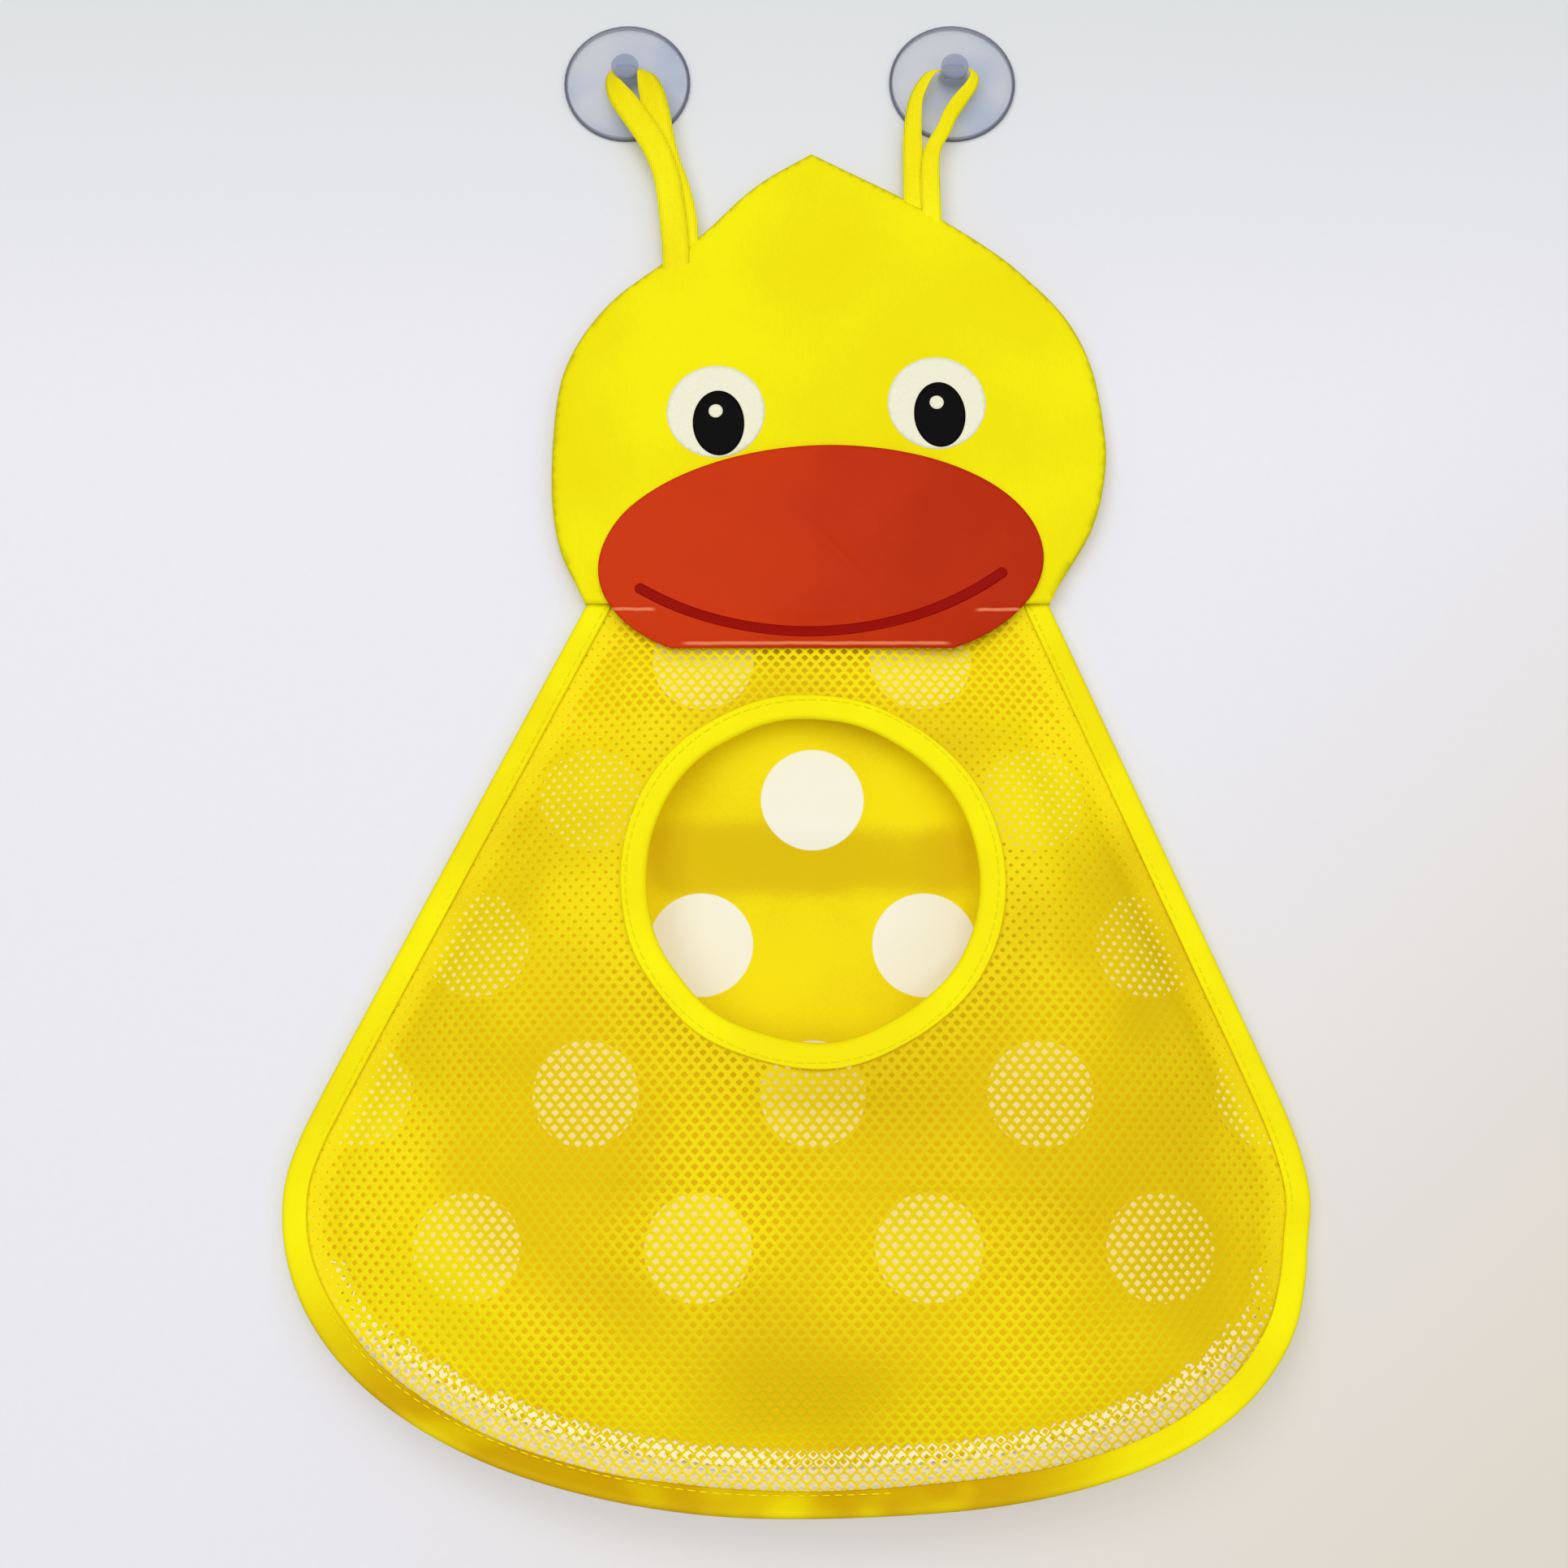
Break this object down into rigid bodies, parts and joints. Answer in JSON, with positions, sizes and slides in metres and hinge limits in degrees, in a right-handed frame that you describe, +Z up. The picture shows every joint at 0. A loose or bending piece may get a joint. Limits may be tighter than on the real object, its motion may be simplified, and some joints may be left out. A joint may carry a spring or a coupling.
{
  "type": "hanging bath toy organizer",
  "caption": "Duck-shaped hanging bag with a net front and a round opening that stores bath toys on a bathroom wall; ribbon loops hang it from clear suction cups",
  "frame": {"origin": "on the wall plane, midway between the middles of the two suction cups", "axes": "+Z is up along the wall, +Y goes into the wall, so the front of the bag faces -Y, and +X is to the right of someone who faces the bag"},
  "size_m": [0.3127, 0.0362, 0.4868],
  "materials": {
    "cup_plastic": "clear soft moulding, slightly blue grey",
    "head_cloth": "thin woven cloth, light yellow",
    "back_cloth": "thin woven cloth, yellow with cream dots",
    "net": "knitted net with small hexagonal holes, yellow",
    "floor_net": "knitted net, pale cream",
    "tape": "folded binding tape, bright yellow",
    "ribbon": "narrow woven ribbon, yellow",
    "beak_vinyl": "soft coated cloth, orange red, slightly shiny",
    "mouth_ink": "printed, dark red",
    "eye_white": "printed, off-white",
    "pupil_ink": "printed, black"
  },
  "bodies": {
    "wall_cups": {"suction_cup_left": "cup_plastic", "suction_cup_right": "cup_plastic"},
    "bag": {"back_panel": "back_cloth", "front_net": "net", "floor_net": "floor_net", "edge_binding": "tape", "opening_binding": "tape", "head_panel": "head_cloth", "beak_upper": "beak_vinyl", "mouth_left": "mouth_ink", "mouth_right": "mouth_ink", "eye_white_left": "eye_white", "eye_white_right": "eye_white", "pupil_left": "pupil_ink", "pupil_right": "pupil_ink", "glint_left": "eye_white", "glint_right": "eye_white", "ribbon_loop_left": "ribbon", "ribbon_loop_right": "ribbon"},
    "flap": {"beak_flap": "beak_vinyl", "mouth_middle": "mouth_ink"}
  },
  "joints": [
    {"name": "bag_swing", "type": "hinge", "parent": "wall_cups", "child": "bag", "pos_m": [0, -0.0076, 0], "axis": [-1, 0, 0], "range_deg": [0, 60]},
    {"name": "beak_flap_lift", "type": "hinge", "parent": "bag", "child": "flap", "pos_m": [0.0114, -0.00735, -0.1914], "axis": [-1, 0, 0], "range_deg": [0, 75]}
  ]
}
